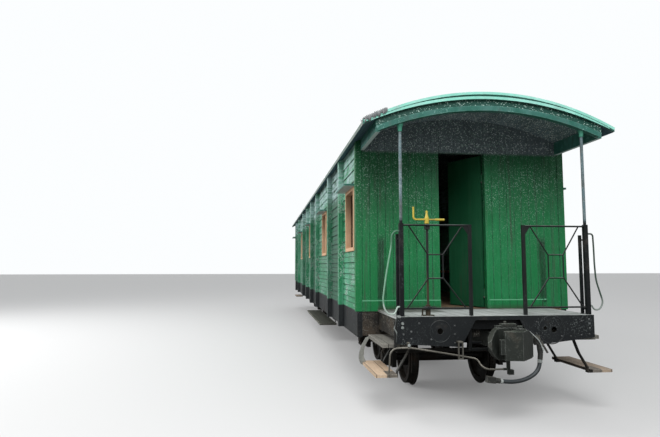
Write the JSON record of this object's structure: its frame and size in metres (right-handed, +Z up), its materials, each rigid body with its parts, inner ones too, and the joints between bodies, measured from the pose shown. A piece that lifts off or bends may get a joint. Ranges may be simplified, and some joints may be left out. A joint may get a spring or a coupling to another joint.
{
  "type": "passenger coach",
  "caption": "Narrow-gauge wooden passenger coach with open end platforms, an arched roof, lapped side boards, hinged end doors, couplers and two four-wheel bogies.",
  "frame": {"origin": "centre of the coach at the lowest point of the wheel flanges", "axes": "+Y along the coach, away from the end shown in the picture; +X to the right when facing that end's wall; +Z up"},
  "size_m": [3.01, 16.72, 3.5578],
  "materials": {
    "headstocks": "worn satin",
    "underframe": "dusty satin",
    "floors": "weathered",
    "side_wall": "painted, weathered",
    "end_walls": "painted, weathered",
    "roof": "dull",
    "fascias": "worn paint",
    "columns": "worn paint",
    "railings": "worn paint",
    "brake_shafts": "worn paint",
    "brake_cranks": "worn paint",
    "grab_rods": "worn",
    "step_treads": "worn",
    "step_hangers": "worn paint",
    "window_frames": "old varnish",
    "window_panes": "dusty",
    "window_hoods": "worn paint",
    "doors": "painted, weathered",
    "hinge_pintles": "worn",
    "coupler_heads": "rusty",
    "knuckles": "rusty",
    "uncoupling_rods": "worn",
    "air_hoses": "dusty",
    "benches": "varnish",
    "brake_gear": "dusty",
    "bogie_frames": "dusty",
    "axle_boxes": "oily",
    "leaf_springs": "oily",
    "wheelsets": "rusty with bright treads",
    "canopy_frames": "worn paint",
    "hose_fittings": "worn"
  },
  "bodies": {
    "coach": {"headstocks": "headstocks", "side_sills": "underframe", "end_sills": "underframe", "inner_sills": "underframe", "cross_members": "underframe", "floors": "floors", "side_wall_left": "side_wall", "side_wall_right": "side_wall", "end_walls": "end_walls", "roof": "roof", "fascias": "fascias", "canopy_frames": "canopy_frames", "columns": "columns", "railings": "railings", "brake_shafts": "brake_shafts", "brake_cranks": "brake_cranks", "grab_rods": "grab_rods", "step_treads": "step_treads", "step_hangers": "step_hangers", "window_frames": "window_frames", "window_panes": "window_panes", "window_hoods": "window_hoods", "hinge_pintles": "hinge_pintles", "coupler_heads": "coupler_heads", "uncoupling_rods": "uncoupling_rods", "hose_fittings": "hose_fittings", "air_hose_near": "air_hoses", "air_hose_far": "air_hoses", "benches": "benches", "brake_gear": "brake_gear"},
    "door_near": {"door_near": "doors"},
    "door_far": {"door_far": "doors"},
    "knuckle_near": {"knuckle_near": "knuckles"},
    "knuckle_far": {"knuckle_far": "knuckles"},
    "bogie_near": {"bogie_frame_near": "bogie_frames", "axle_boxes_near": "axle_boxes", "leaf_springs_near": "leaf_springs"},
    "bogie_far": {"bogie_frame_far": "bogie_frames", "axle_boxes_far": "axle_boxes", "leaf_springs_far": "leaf_springs"},
    "wheelset_1": {"wheelset_1": "wheelsets"},
    "wheelset_2": {"wheelset_2": "wheelsets"},
    "wheelset_3": {"wheelset_3": "wheelsets"},
    "wheelset_4": {"wheelset_4": "wheelsets"}
  },
  "joints": [
    {"name": "bogie_near_swivel", "type": "hinge", "parent": "coach", "child": "bogie_near", "pos_m": [0, -5.2, 0.678], "axis": [0, 0, 1], "range_deg": [-4, 4]},
    {"name": "bogie_far_swivel", "type": "hinge", "parent": "coach", "child": "bogie_far", "pos_m": [0, 5.2, 0.678], "axis": [0, 0, 1], "range_deg": [-4, 4]},
    {"name": "wheelset_1_turn", "type": "hinge", "parent": "bogie_near", "child": "wheelset_1", "pos_m": [0, -6.1, 0.388], "axis": [1, 0, 0], "continuous": true},
    {"name": "wheelset_2_turn", "type": "hinge", "parent": "bogie_near", "child": "wheelset_2", "pos_m": [0, -4.3, 0.388], "axis": [1, 0, 0], "continuous": true},
    {"name": "wheelset_3_turn", "type": "hinge", "parent": "bogie_far", "child": "wheelset_3", "pos_m": [0, 4.3, 0.388], "axis": [1, 0, 0], "continuous": true},
    {"name": "wheelset_4_turn", "type": "hinge", "parent": "bogie_far", "child": "wheelset_4", "pos_m": [0, 6.1, 0.388], "axis": [1, 0, 0], "continuous": true},
    {"name": "door_near_hinge", "type": "hinge", "parent": "coach", "child": "door_near", "pos_m": [0.303, -6.818, 2], "axis": [0, 0, -1], "range_deg": [-65, 25]},
    {"name": "door_far_hinge", "type": "hinge", "parent": "coach", "child": "door_far", "pos_m": [-0.303, 6.818, 2], "axis": [0, 0, -1], "range_deg": [-65, 25]},
    {"name": "knuckle_near_swing", "type": "hinge", "parent": "coach", "child": "knuckle_near", "pos_m": [0.1, -8.18, 0.828], "axis": [0, 0, 1], "range_deg": [0, 40]},
    {"name": "knuckle_far_swing", "type": "hinge", "parent": "coach", "child": "knuckle_far", "pos_m": [-0.1, 8.18, 0.828], "axis": [0, 0, 1], "range_deg": [0, 40]}
  ]
}
